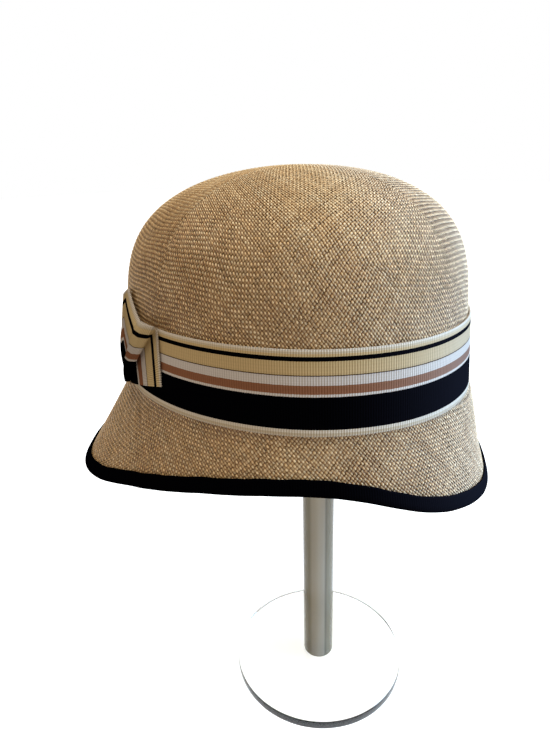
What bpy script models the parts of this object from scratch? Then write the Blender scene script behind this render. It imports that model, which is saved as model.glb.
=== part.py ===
"""Straw cloche hat with a striped ribbon band and a pleated ribbon bow, on a clear stand.

Metres, +Z up. The origin is the middle of the stand's foot, on the surface it stands on.
The hat faces -Y, and its bow is on the wearer's right, at -X. An azimuth is counted in
degrees from the front, by way of +X. A height on the hat is counted from the band's foot.
"""

import math

import bmesh
import bpy
from mathutils import Vector

# Crown: an oval that narrows upwards and closes in a rounded dome
HEAD_LENGTH = 0.2052
HEAD_WIDTH = 0.1754
STRAW_THICKNESS = 0.0016
CROWN_HEIGHT = 0.1077
DOME_HEIGHT = 0.0737
SIDE_TAPER = 0.072
DOME_SQUARENESS = 3.5
DOME_ROUNDNESS = 2.07
CROWN_LEAN = 0.0078

# Brim: lengths down the straw, as shares of BRIM_DEPTH, and the flare from upright
BRIM_DEPTH = 0.05
BRIM_BREAK = 0.008
BRIM_SECTIONS = (
    # azimuth, length, flare
    (0, 0.79, 15.5),
    (30, 1.02, 16.5),
    (60, 0.81, 20.5),
    (90, 0.67, 24.0),
    (120, 0.60, 24.5),
    (150, 0.58, 24.5),
    (180, 0.64, 23.5),
    (210, 0.86, 26.0),
    (240, 1.10, 33.5),
    (270, 0.75, 24.0),
    (300, 0.48, 16.5),
    (330, 0.41, 15.0),
)

# Ribbons
RIBBON_WIDTH = 0.038
RIBBON_THICKNESS = 0.001
BINDING_HEIGHT = 0.0075
CLOTH_GAP = 0.0003

# Bow: a half rosette of pleated ribbon, whose folds run from its rim to its gathered heart
BOW_AZIMUTH = 244.0
BOW_HEART_HEIGHT = 0.001
PLEAT_RISE = 0.007
BOW_FOLDS = (
    # rim_along, rim_up, rim_rise, heart_along, heart_up, heart_rise
    # along and up are shares of RIBBON_WIDTH, and a rise is a share of PLEAT_RISE
    ("tail_end", 1.24, 0.24, 0.10, 0.34, -0.01, 0.20),
    ("tail_fold", 1.04, 0.96, 0.10, 0.30, 0.18, 0.20),
    ("side_pleat", 0.87, 1.00, 0.95, 0.26, 0.23, 0.45),
    ("side_fold", 0.70, 0.98, 0.10, 0.20, 0.28, 0.15),
    ("top_fold", 0.22, 1.30, 0.05, 0.07, 0.34, 0.10),
    ("top_pleat", 0.00, 1.32, 0.20, 0.00, 0.36, 0.25),
)

# Stand
STAND_HEIGHT = 0.21
POST_FORWARD = 0.024
POST_RADIUS = 0.0097
FOOT_RADIUS = 0.055
FOOT_THICKNESS = 0.006
REST_RADIUS = 0.034
REST_THICKNESS = 0.006
STAND_EDGE = 0.001
SEAT_GAP = 0.0003

# Mesh resolution
COLUMNS = 72
DOME_ROWS = 13
BREAK_ROWS = 2
BRIM_ROWS = 3
LEAF_STEPS = 3
PLEAT_STEPS = 4
RIBBON_STEPS = 4
ROUND_SIDES = 40
HALVINGS = 40

FULL_TURN = 2 * math.pi


def clear_scene():
    for obj in list(bpy.data.objects):
        bpy.data.objects.remove(obj, do_unlink=True)


def make_material(name, colour, roughness, alpha=1.0):
    material = bpy.data.materials.new(name)
    material.use_nodes = True
    shader = material.node_tree.nodes["Principled BSDF"]
    shader.inputs["Base Color"].default_value = (*colour, 1.0)
    shader.inputs["Roughness"].default_value = roughness
    shader.inputs["Metallic"].default_value = 0.0
    shader.inputs["Alpha"].default_value = alpha
    return material


def add_object(name, shape, material):
    """Turns a bmesh into an object whose faces point outwards."""
    bmesh.ops.recalc_face_normals(shape, faces=shape.faces)
    mesh = bpy.data.meshes.new(name)
    shape.to_mesh(mesh)
    shape.free()
    mesh.shade_smooth()
    mesh.set_sharp_from_angle(angle=math.radians(40))
    mesh.materials.append(material)
    obj = bpy.data.objects.new(name, mesh)
    bpy.context.scene.collection.objects.link(obj)
    return obj


def column_azimuths():
    return [FULL_TURN * column / COLUMNS for column in range(COLUMNS)]


def brim_section(azimuth):
    """Length and flare at an azimuth, on a smooth closed curve through the sections."""
    spacing = FULL_TURN / len(BRIM_SECTIONS)
    place = (azimuth % FULL_TURN) / spacing
    first = int(place)
    t = place - first
    weights = (
        (-t + 2 * t**2 - t**3) / 2,
        (2 - 5 * t**2 + 3 * t**3) / 2,
        (t + 4 * t**2 - 3 * t**3) / 2,
        (-(t**2) + t**3) / 2,
    )
    rows = [BRIM_SECTIONS[(first + step) % len(BRIM_SECTIONS)] for step in (-1, 0, 1, 2)]
    length = sum(weight * row[1] for weight, row in zip(weights, rows))
    flare = sum(weight * row[2] for weight, row in zip(weights, rows))
    return length * BRIM_DEPTH, math.radians(flare)


def crown_share(height):
    """Share of the head oval that is left at a height."""
    side = 1 - SIDE_TAPER * height / CROWN_HEIGHT
    dome = max(0.0, height - (CROWN_HEIGHT - DOME_HEIGHT)) / DOME_HEIGHT
    return side * max(0.0, 1 - dome**DOME_SQUARENESS) ** (1 / DOME_ROUNDNESS)


def oval_radius(azimuth, half_length, half_width):
    along = half_width * math.cos(azimuth)
    across = half_length * math.sin(azimuth)
    return half_length * half_width / math.hypot(along, across)


def crown_point(azimuth, height, proud=0.0):
    """Point on the outside of the straw crown, or proud of it, in the world."""
    share = crown_share(height)
    radius = oval_radius(azimuth, HEAD_LENGTH / 2 * share + proud, HEAD_WIDTH / 2 * share + proud)
    dome = max(0.0, height - (CROWN_HEIGHT - DOME_HEIGHT)) / DOME_HEIGHT
    return Vector((
        radius * math.sin(azimuth) + CROWN_LEAN * dome**2,
        POST_FORWARD - radius * math.cos(azimuth),
        STAND_HEIGHT + height,
    ))


def side_lean(azimuth):
    """Angle from upright of the crown's side at the band's foot."""
    radius = oval_radius(azimuth, HEAD_LENGTH / 2, HEAD_WIDTH / 2)
    return math.atan(radius * SIDE_TAPER / CROWN_HEIGHT)


def brim_directions(azimuth, angle):
    """Unit vectors down the brim and square off its outer side."""
    outwards = Vector((math.sin(azimuth), -math.cos(azimuth), 0))
    upwards = Vector((0, 0, 1))
    down = outwards * math.sin(angle) - upwards * math.cos(angle)
    off = outwards * math.cos(angle) + upwards * math.sin(angle)
    return down, off


def brim_points(azimuth):
    """Outer points down the brim, from the band's foot to the cut edge of the straw."""
    length, flare = brim_section(azimuth)
    start = side_lean(azimuth)
    point = crown_point(azimuth, 0)
    points = []
    step = BRIM_BREAK / BREAK_ROWS
    for row in range(BREAK_ROWS):
        angle = start + (flare - start) * (row + 0.5) / BREAK_ROWS
        point = point + brim_directions(azimuth, angle)[0] * step
        points.append(point)
    hidden = BINDING_HEIGHT - RIBBON_THICKNESS - CLOTH_GAP
    step = (length + hidden - BRIM_BREAK) / BRIM_ROWS
    down, _ = brim_directions(azimuth, flare)
    for row in range(BRIM_ROWS):
        point = point + down * step
        points.append(point)
    return points


def bridge_rows(shape, rows, closed):
    """Joins rows of points with faces. Closed rows are rings that meet themselves."""
    for upper, lower in zip(rows, rows[1:]):
        count = len(upper)
        for column in range(count if closed else count - 1):
            after = (column + 1) % count
            shape.faces.new((upper[column], upper[after], lower[after], lower[column]))


def dome_heights():
    """Heights of the crown's rows from just under the tip down to the dome's start."""
    start = CROWN_HEIGHT - DOME_HEIGHT
    return [
        start + DOME_HEIGHT * math.sin(math.pi / 2 * row / DOME_ROWS)
        for row in range(DOME_ROWS - 1, -1, -1)
    ]


def build_straw(material):
    """Crown and brim, blocked from one woven hood: a thin shell, open below."""
    shape = bmesh.new()
    azimuths = column_azimuths()
    rows = [
        [shape.verts.new(crown_point(azimuth, height)) for azimuth in azimuths]
        for height in (*dome_heights(), 0.0)
    ]
    brim = [brim_points(azimuth) for azimuth in azimuths]
    for row in range(BREAK_ROWS + BRIM_ROWS):
        rows.append([shape.verts.new(points[row]) for points in brim])
    bridge_rows(shape, rows, closed=True)
    tip = shape.verts.new((CROWN_LEAN, POST_FORWARD, STAND_HEIGHT + CROWN_HEIGHT))
    for column in range(COLUMNS):
        shape.faces.new((tip, rows[0][(column + 1) % COLUMNS], rows[0][column]))
    hood = add_object("crown_and_brim", shape, material)
    wall = hood.modifiers.new("wall", "SOLIDIFY")
    wall.thickness = STRAW_THICKNESS
    wall.offset = -1
    return hood


def build_band(material):
    """Ribbon that lies round the foot of the crown."""
    shape = bmesh.new()
    heights = (RIBBON_WIDTH, CROWN_HEIGHT - DOME_HEIGHT, CLOTH_GAP)
    inner = CLOTH_GAP
    outer = CLOTH_GAP + RIBBON_THICKNESS
    path = [(height, outer) for height in heights] + [(height, inner) for height in heights[::-1]]
    rows = [
        [shape.verts.new(crown_point(azimuth, height, proud)) for azimuth in column_azimuths()]
        for height, proud in path
    ]
    bridge_rows(shape, rows + rows[:1], closed=True)
    return add_object("band_ribbon", shape, material)


def binding_profile():
    """Section of the folded binding, as (down, off) from the outer corner of the straw's edge."""
    inside = CLOTH_GAP
    outside = CLOTH_GAP + RIBBON_THICKNESS
    top = outside - BINDING_HEIGHT
    back = -STRAW_THICKNESS
    turn = (outside - inside) * 0.7
    return (
        (top, outside),
        (outside - 2 * turn, outside),
        (outside - turn / 2, outside - turn),
        (outside, back / 2),
        (outside - turn / 2, back - outside + turn),
        (outside - 2 * turn, back - outside),
        (top, back - outside),
        (top, back - inside),
        (inside, back - inside),
        (inside, inside),
        (top, inside),
    )


def build_binding(material):
    """Ribbon folded over the brim's edge."""
    shape = bmesh.new()
    profile = binding_profile()
    rows = [[] for _ in profile]
    for azimuth in column_azimuths():
        edge = brim_points(azimuth)[-1]
        down, off = brim_directions(azimuth, brim_section(azimuth)[1])
        for row, (along, out) in zip(rows, profile):
            row.append(shape.verts.new(edge + down * along + off * out))
    bridge_rows(shape, rows + rows[:1], closed=True)
    return add_object("edge_binding", shape, material)


def bow_point(along, up, rise):
    """Point over the band: along it from the bow's middle, up from its foot and off its face."""
    azimuth = math.radians(BOW_AZIMUTH)
    radius = oval_radius(azimuth, HEAD_LENGTH / 2, HEAD_WIDTH / 2)
    clear = 2 * CLOTH_GAP + RIBBON_THICKNESS
    return crown_point(azimuth + along / radius, up, clear + rise)


def half_bow_columns():
    """(rim, heart) pairs from the tail's end to the top pleat, each (along, up, rise)."""
    folds = {row[0]: row[1:] for row in BOW_FOLDS}
    names = [row[0] for row in BOW_FOLDS]
    columns = []
    for name, after in zip(names, names[1:]):
        rises = after.endswith("pleat")
        falls = name.endswith("pleat")
        steps = PLEAT_STEPS if rises or falls else LEAF_STEPS
        for step in range(steps):
            t = step / steps
            # A pleat's cheek climbs like a quarter of a round
            across = math.sin(t * math.pi / 2) if falls else t
            across = 1 - math.cos(t * math.pi / 2) if rises else across
            lift = math.sin(t * math.pi / 2) if rises else t
            lift = 1 - math.cos(t * math.pi / 2) if falls else lift
            start, end = folds[name], folds[after]
            mix = [a + (b - a) * across for a, b in zip(start, end)]
            mix[2] = start[2] + (end[2] - start[2]) * lift
            mix[5] = start[5] + (end[5] - start[5]) * lift
            columns.append(mix)
    columns.append(list(folds[names[-1]]))
    return columns


def build_bow(material):
    """Pleated ribbon fan: two tails, two side pleats and a top pleat round one heart."""
    half = half_bow_columns()
    rear = [[-c[0], c[1], c[2], -c[3], c[4], c[5]] for c in half[-2::-1]]
    shape = bmesh.new()
    faces = []
    for thickness in (RIBBON_THICKNESS, 0.0):
        rows = []
        for along, up, rise, heart_along, heart_up, heart_rise in half + rear:
            row = []
            for step in range(RIBBON_STEPS + 1):
                t = step / RIBBON_STEPS
                row.append(shape.verts.new(bow_point(
                    RIBBON_WIDTH * (along + (heart_along - along) * t),
                    BOW_HEART_HEIGHT + RIBBON_WIDTH * (up + (heart_up - up) * t),
                    PLEAT_RISE * (rise + (heart_rise - rise) * t) + thickness,
                )))
            rows.append(row)
        faces.append(rows)
    front, back = faces
    bridge_rows(shape, front, closed=False)
    bridge_rows(shape, [row[::-1] for row in back], closed=False)
    rim = [row[0] for row in front], [row[0] for row in back]
    heart = [row[-1] for row in back], [row[-1] for row in front]
    for edges in (rim, heart, (front[-1], back[-1]), (back[0], front[0])):
        bridge_rows(shape, edges, closed=False)
    return add_object("bow_ribbon", shape, material)


def build_disc(name, radius, low, high, material):
    """Round plate or rod with softened edges."""
    shape = bmesh.new()
    bmesh.ops.create_cone(
        shape, cap_ends=True, segments=ROUND_SIDES, radius1=radius, radius2=radius, depth=high - low
    )
    bmesh.ops.translate(shape, verts=shape.verts, vec=(0, 0, (low + high) / 2))
    rims = [edge for edge in shape.edges if abs(edge.verts[0].co.z - edge.verts[1].co.z) < SEAT_GAP]
    bmesh.ops.bevel(shape, geom=rims, offset=STAND_EDGE, segments=2, profile=0.5, affect="EDGES")
    return add_object(name, shape, material)


def height_over(x, y):
    """Height in the world of the crown's outside over a point, found by halving."""
    low, high = CROWN_HEIGHT - DOME_HEIGHT, CROWN_HEIGHT
    for _ in range(HALVINGS):
        middle = (low + high) / 2
        share = crown_share(middle)
        lean = CROWN_LEAN * ((middle - CROWN_HEIGHT + DOME_HEIGHT) / DOME_HEIGHT) ** 2
        across = (x - lean) / (share * HEAD_WIDTH / 2)
        along = (y - POST_FORWARD) / (share * HEAD_LENGTH / 2)
        if math.hypot(across, along) < 1:
            low = middle
        else:
            high = middle
    return STAND_HEIGHT + low


def rest_top():
    """Height of the rest's upper face, where its rim comes up to the crown's inside."""
    reach = []
    for side in range(ROUND_SIDES):
        angle = FULL_TURN * side / ROUND_SIDES
        x, y = REST_RADIUS * math.cos(angle), REST_RADIUS * math.sin(angle)
        height = height_over(x, y)
        slope_x = (height_over(x + STAND_EDGE, y) - height) / STAND_EDGE
        slope_y = (height_over(x, y + STAND_EDGE) - height) / STAND_EDGE
        reach.append(height - STRAW_THICKNESS * math.hypot(1, slope_x, slope_y))
    return min(reach) - SEAT_GAP


def build_stand(material):
    """Clear foot, post and rest, each glued to the next."""
    top = rest_top()
    post_low = FOOT_THICKNESS + SEAT_GAP
    post_high = top - REST_THICKNESS - SEAT_GAP
    build_disc("stand_foot", FOOT_RADIUS, 0.0, FOOT_THICKNESS, material)
    build_disc("stand_post", POST_RADIUS, post_low, post_high, material)
    build_disc("stand_rest", REST_RADIUS, top - REST_THICKNESS, top, material)


def main():
    clear_scene()
    build_straw(make_material("straw", (0.45, 0.30, 0.15), 0.55))
    build_band(make_material("striped_ribbon", (0.55, 0.42, 0.26), 0.6))
    build_bow(make_material("bow_striped_ribbon", (0.55, 0.42, 0.26), 0.6))
    build_binding(make_material("black_ribbon", (0.012, 0.012, 0.016), 0.6))
    build_stand(make_material("clear_acrylic", (0.85, 0.86, 0.84), 0.08, alpha=0.4))


main()
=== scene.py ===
"""Straw cloche hat on a clear stand: woven straw, striped ribbon, pleated bow and bound edge."""

import math

import bpy
import numpy as np
from mathutils import Matrix, Vector


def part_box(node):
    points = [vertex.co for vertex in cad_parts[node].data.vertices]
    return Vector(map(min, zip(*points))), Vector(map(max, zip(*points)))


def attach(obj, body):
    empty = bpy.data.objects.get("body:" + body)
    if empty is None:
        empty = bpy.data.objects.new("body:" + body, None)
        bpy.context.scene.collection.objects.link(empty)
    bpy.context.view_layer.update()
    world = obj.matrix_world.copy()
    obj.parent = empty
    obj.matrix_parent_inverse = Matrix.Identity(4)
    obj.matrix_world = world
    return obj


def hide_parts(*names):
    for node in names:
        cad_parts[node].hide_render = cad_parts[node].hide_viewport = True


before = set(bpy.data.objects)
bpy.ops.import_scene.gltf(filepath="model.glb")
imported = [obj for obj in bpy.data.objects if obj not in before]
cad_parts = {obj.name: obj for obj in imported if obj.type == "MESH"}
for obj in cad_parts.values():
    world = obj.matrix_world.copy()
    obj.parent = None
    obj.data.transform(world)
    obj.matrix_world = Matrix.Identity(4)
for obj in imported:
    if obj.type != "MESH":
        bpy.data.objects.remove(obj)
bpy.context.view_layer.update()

# Sizes of the solids, in metres
HEAD_LENGTH = 0.2052
HEAD_WIDTH = 0.1754
STRAW_THICKNESS = 0.0016
CROWN_HEIGHT = 0.1077
DOME_HEIGHT = 0.0737
SIDE_TAPER = 0.072
DOME_SQUARENESS = 3.5
DOME_ROUNDNESS = 2.07
CROWN_LEAN = 0.0078
BRIM_DEPTH = 0.05
BRIM_BREAK = 0.008
BRIM_SECTIONS = (
    # azimuth, length, flare
    (0, 0.79, 15.5),
    (30, 1.02, 16.5),
    (60, 0.81, 20.5),
    (90, 0.67, 24.0),
    (120, 0.60, 24.5),
    (150, 0.58, 24.5),
    (180, 0.64, 23.5),
    (210, 0.86, 26.0),
    (240, 1.10, 33.5),
    (270, 0.75, 24.0),
    (300, 0.48, 16.5),
    (330, 0.41, 15.0),
)
RIBBON_WIDTH = 0.038
RIBBON_THICKNESS = 0.001
BINDING_HEIGHT = 0.0075
CLOTH_GAP = 0.0003
BOW_AZIMUTH = 244.0
BOW_HEART_HEIGHT = 0.001
PLEAT_RISE = 0.007
STAND_HEIGHT = 0.21
POST_FORWARD = 0.024

# The brim swells out on one side just under the band, and is back in line at a share of its length
SIDE_SWELL = 0.003
SWELL_AZIMUTH = 45.0
SWELL_SPREAD = 40.0
SWELL_REACH = 0.005
SWELL_END = (0.1, 0.85)

# Weave. Each point has a number among the strands that climb round the hat and one among those that
# fall. Half their sum is its column, round the hat, and half their difference its row, down the hat.
# Four sectors widen from the tip to the corner rows, and from there down they keep their width.
CORNER_ROWS = 45
ROW = 0.0021
TIP_ROW = 0.05
FIRST_AZIMUTH = 318.0
SETTLE_ROUNDS = 4
WEAVE_DEPTH = 0.00036
FAMILIES = (
    # width in columns, rise and roundness in metres, of the strands that climb and of those that fall
    (0.86, 0.00014, 0.00010),
    (0.92, 0.00030, 0.00020),
)
TWIST = (
    # azimuth, share by which rows lie lower, lean of columns, painted light on climbing and on falling
    # strands: how brightly each catches the light
    (0, 0.075, 0.15, 0.6, 1.0),
    (30, 0.105, 0.13, 0.85, 1.0),
    (60, 0.118, 0.08, 0.8, 1.0),
    (90, 0.110, 0.03, 0.3, 1.0),
    (120, 0.092, 0.0, 0.4, 1.0),
    (150, 0.066, 0.0, 0.3, 1.0),
    (180, 0.040, 0.0, 0.3, 1.0),
    (210, 0.015, 0.0, 0.3, 1.0),
    (240, 0.0, 0.0, 0.25, 1.0),
    (270, 0.004, 0.0, 0.12, 1.0),
    (300, 0.018, 0.05, 0.2, 1.0),
    (330, 0.042, 0.12, 0.48, 0.7),
)
ROW_WAVES = (
    # depth in rows, then how fast the wave turns with the column, the row and the sector
    (0.22, 0.23, 0.11, 1),
    (0.18, 0.07, -0.19, 0),
)
ROW_WAVE_START = (4, 16)
STRAND_WAVES = (
    # depth and pitch: two waves from side to side in columns, then two of the strand's breadth
    (0.09, 0.31),
    (0.06, 0.83),
    (0.13, 0.17),
    (0.10, 0.0),
)
# A strand has points on both sides of the middle of each crossing, and settles at its sector's border
PLATEAU = 0.25
END_RISE = 0.2
STRAND_OVERHANG = 0.0016
STRAND_TIP = 0.0001
KIND_STEP = 700
STRAND_SIGNS = ((1, 1, -1, -1), (1, -1, -1, 1))
# Strands made beyond the rows and the half sector asked for, before the quads outside are dropped
MARGIN = 14
SPARE_COLUMNS = 6
OVERLAP_COLUMNS = 8
# Rows that run on under the band, from above and from below, and more rows than any brim has
UNDER_BAND = 1.2
OVER_FOOT = 1.4
MOST_BRIM_ROWS = 30
CROWN_NAMES = ("front_right", "front_left", "back_left", "back_right")
BRIM_NAMES = (("front", (0, 1)), ("back", (2, 3)))
LINING_DEPTH = 0.00095
LINING_OVERHANG = 0.004
LINING_COLUMNS = 25
LINING_TIP_ROW = 0.15
DOME_ROWS, SIDE_ROWS, BRIM_ROWS = 24, 13, 14

# Painted light: the side of the hat that faces the window light is painted paler, in degrees round from
# where that side starts, strands are painted brighter at the tip and on the brim, and part of the brim
# takes painted shade
LIT_SIDE_AZIMUTH = 310
LIT_SIDE_RISE = (14, 66)
LIT_SIDE_FALL = (120, 200)
TIP_LIFT = 0.2
TIP_LIFT_ROWS = (26, 52)
BRIM_LIFT = 0.2
BRIM_LIFT_REACH = 0.01
BRIM_SHADING = 0.3
BRIM_SHADE_RISE = (8, 24)
BRIM_SHADE_FALL = (40, 56)

TURN = 2 * np.pi


def smoothstep(low, high, value):
    t = np.clip((value - low) / (high - low), 0, 1)
    return t * t * (3 - 2 * t)


def distances(points):
    """Distance run along a line of points, up to each of them."""
    return np.concatenate([[0], np.cumsum(np.linalg.norm(np.diff(points, axis=0), axis=1))])


# Surface of the hood, for arrays of azimuths in radians and of distances from the tip

LEAST_BEND = 0.001
NORMAL_TURN, NORMAL_STEP = 0.003, 0.0004
NEAREST_TIP = 0.00001


def dome_share(height):
    return np.clip(height - (CROWN_HEIGHT - DOME_HEIGHT), 0, None) / DOME_HEIGHT


def crown_share(height):
    side = 1 - SIDE_TAPER * height / CROWN_HEIGHT
    return side * np.clip(1 - dome_share(height) ** DOME_SQUARENESS, 0, None) ** (1 / DOME_ROUNDNESS)


def oval_radius(azimuth, half_length, half_width):
    along = half_width * np.cos(azimuth)
    across = half_length * np.sin(azimuth)
    return half_length * half_width / np.hypot(along, across)


def crown_point(azimuth, height, proud=0.0):
    share = crown_share(height)
    radius = oval_radius(azimuth, HEAD_LENGTH / 2 * share + proud, HEAD_WIDTH / 2 * share + proud)
    x = radius * np.sin(azimuth) + CROWN_LEAN * dome_share(height) ** 2
    y = POST_FORWARD - radius * np.cos(azimuth)
    return np.stack([x, y, STAND_HEIGHT + height + 0 * x], -1)


def round_table(table, azimuth):
    """Columns of a table of even azimuths, on a smooth closed curve through its rows."""
    table = np.array(table, float)
    count = len(table)
    place = (azimuth % TURN) / (TURN / count)
    first = np.floor(place).astype(int)
    t = place - first
    weights = (
        (-t + 2 * t**2 - t**3) / 2,
        (2 - 5 * t**2 + 3 * t**3) / 2,
        (t + 4 * t**2 - 3 * t**3) / 2,
        (-(t**2) + t**3) / 2,
    )
    rows = [table[(first + step) % count] for step in (-1, 0, 1, 2)]
    return [
        sum(weight * row[..., column] for weight, row in zip(weights, rows))
        for column in range(1, table.shape[1])
    ]


def brim_section(azimuth):
    length, flare = round_table(BRIM_SECTIONS, azimuth)
    return length * BRIM_DEPTH, np.radians(flare)


def side_swell(azimuth, down, length):
    """How far the brim swells out, a distance down the straw from the band's foot."""
    turn = (np.degrees(azimuth) - SWELL_AZIMUTH + 180) % 360 - 180
    swell = SIDE_SWELL * np.exp(-((turn / SWELL_SPREAD) ** 2)) * smoothstep(0, SWELL_REACH, down)
    return swell * (1 - smoothstep(*SWELL_END, down / length))


def brim_point(azimuth, down):
    """Outer point of the brim, a distance down the straw from the band's foot."""
    length, flare = brim_section(azimuth)
    radius = oval_radius(azimuth, HEAD_LENGTH / 2, HEAD_WIDTH / 2)
    start = np.arctan(radius * SIDE_TAPER / CROWN_HEIGHT)
    bend = (flare - start) / BRIM_BREAK
    bend = np.where(np.abs(bend) < LEAST_BEND, LEAST_BEND, bend)
    curve = np.clip(down, None, BRIM_BREAK)
    rest = np.clip(down - BRIM_BREAK, 0, None)
    out = (np.cos(start) - np.cos(start + bend * curve)) / bend + rest * np.sin(flare)
    out = out + side_swell(azimuth, down, length)
    drop = (np.sin(start + bend * curve) - np.sin(start)) / bend + rest * np.cos(flare)
    point = crown_point(azimuth, 0 * azimuth)
    point[..., 0] += out * np.sin(azimuth)
    point[..., 1] -= out * np.cos(azimuth)
    point[..., 2] -= drop
    return point


# Heights on the crown, closer together near the tip, and how far down the straw each lies
HEIGHTS = CROWN_HEIGHT - CROWN_HEIGHT * np.linspace(0, 1, 4001) ** 2
RADII = crown_share(HEIGHTS) * (HEAD_LENGTH + HEAD_WIDTH) / 4
DOWN = distances(np.stack([RADII, HEIGHTS], -1))
FOOT = DOWN[-1]


def down_at(height):
    """Distance from the tip, down the crown, of a height on it."""
    return float(np.interp(height, HEIGHTS[::-1], DOWN[::-1]))


def hood_point(azimuth, down):
    height = np.interp(down, DOWN, HEIGHTS)
    crown = crown_point(azimuth, height)
    brim = brim_point(azimuth, np.clip(down - FOOT, 0, None))
    return np.where((down > FOOT)[..., None], brim, crown)


def hood_normal(azimuth, down):
    above = np.clip(down - NORMAL_STEP, NEAREST_TIP, None)
    across = hood_point(azimuth + NORMAL_TURN, down) - hood_point(azimuth - NORMAL_TURN, down)
    along = hood_point(azimuth, down + NORMAL_STEP) - hood_point(azimuth, above)
    normal = np.cross(along, across)
    return normal / np.linalg.norm(normal, axis=-1, keepdims=True)


def hood(azimuth, down, off=0.0):
    """Point of the hood, moved off its surface."""
    off = np.asarray(off)
    return hood_point(azimuth, down) + hood_normal(azimuth, down) * (off[..., None] if off.ndim else off)


# Azimuths over two turns, and how far round the band's foot each lies
AZIMUTHS = np.linspace(0, 2 * TURN, 7201)
ARCS = distances(crown_point(AZIMUTHS, 0 * AZIMUTHS))
GIRTH = ARCS[len(ARCS) // 2]


def azimuth_at(arc):
    return np.interp(arc, ARCS, AZIMUTHS)


def arc_at(azimuth):
    return np.interp(azimuth, AZIMUTHS, ARCS)


def even_azimuths(columns):
    return azimuth_at(np.arange(columns) / columns * GIRTH)


# Meshes

UV_MARGIN = 0.01
LANE_HALF = 0.42


def make_mesh(name, points, quads, material, attributes=(), uv=None):
    """Mesh object from arrays: points (n, 3), quads (m, 4), named values a point, a UV a point."""
    mesh = bpy.data.meshes.new(name)
    mesh.vertices.add(len(points))
    mesh.vertices.foreach_set("co", np.ascontiguousarray(points, np.float32).ravel())
    mesh.loops.add(len(quads) * 4)
    mesh.loops.foreach_set("vertex_index", np.ascontiguousarray(quads, np.int32).ravel())
    mesh.polygons.add(len(quads))
    mesh.polygons.foreach_set("loop_start", np.arange(0, len(quads) * 4, 4, dtype=np.int32))
    mesh.update(calc_edges=True)
    mesh.validate()
    mesh.shade_smooth()
    for key, values in attributes:
        layer = mesh.attributes.new(key, "FLOAT", "POINT")
        layer.data.foreach_set("value", np.ascontiguousarray(values, np.float32).ravel())
    if uv is not None:
        layer = mesh.uv_layers.new(name="OFBake")
        vertices = np.empty(len(mesh.loops), np.int32)
        mesh.loops.foreach_get("vertex_index", vertices)
        layer.data.foreach_set("uv", np.ascontiguousarray(uv[vertices], np.float32).ravel())
    mesh.materials.append(material)
    obj = bpy.data.objects.new(name, mesh)
    bpy.context.scene.collection.objects.link(obj)
    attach(obj, "root")
    return obj


def grid_quads(rows, columns, closed=False):
    """Quads of a grid of points numbered row by row. A closed grid's columns meet their start."""
    row, column = np.meshgrid(
        np.arange(rows - 1), np.arange(columns if closed else columns - 1), indexing="ij"
    )
    after = (column + 1) % columns
    quads = [row * columns + column, (row + 1) * columns + column]
    quads += [(row + 1) * columns + after, row * columns + after]
    return np.stack(quads, -1).reshape(-1, 4)


def grid_places(rows, columns, unit):
    """At each point of a grid: how many units of columns lie before it, and its share of the rows."""
    along = np.repeat((np.arange(columns) / unit)[None], rows, 0)
    across = np.repeat(np.linspace(0, 1, rows)[:, None], columns, 1)
    return along, across


def join(pieces):
    """One set of arrays from several, their UVs in cells of a square."""
    side = math.ceil(math.sqrt(len(pieces)))
    points, quads, values, uvs = [], [], {}, []
    start = 0
    for number, (piece_points, piece_quads, piece_values, piece_uv) in enumerate(pieces):
        points.append(piece_points)
        quads.append(piece_quads + start)
        for key, array in piece_values.items():
            values.setdefault(key, []).append(array)
        low = piece_uv.min(0)
        size = np.clip(piece_uv.max(0) - low, 1e-6, None)
        cell = np.array([number % side, number // side])
        uvs.append((cell + UV_MARGIN + (1 - 2 * UV_MARGIN) * (piece_uv - low) / size) / side)
        start += len(piece_points)
    joined = [(key, np.concatenate(arrays)) for key, arrays in values.items()]
    return np.concatenate(points), np.concatenate(quads), joined, np.concatenate(uvs)


# Materials

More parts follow.
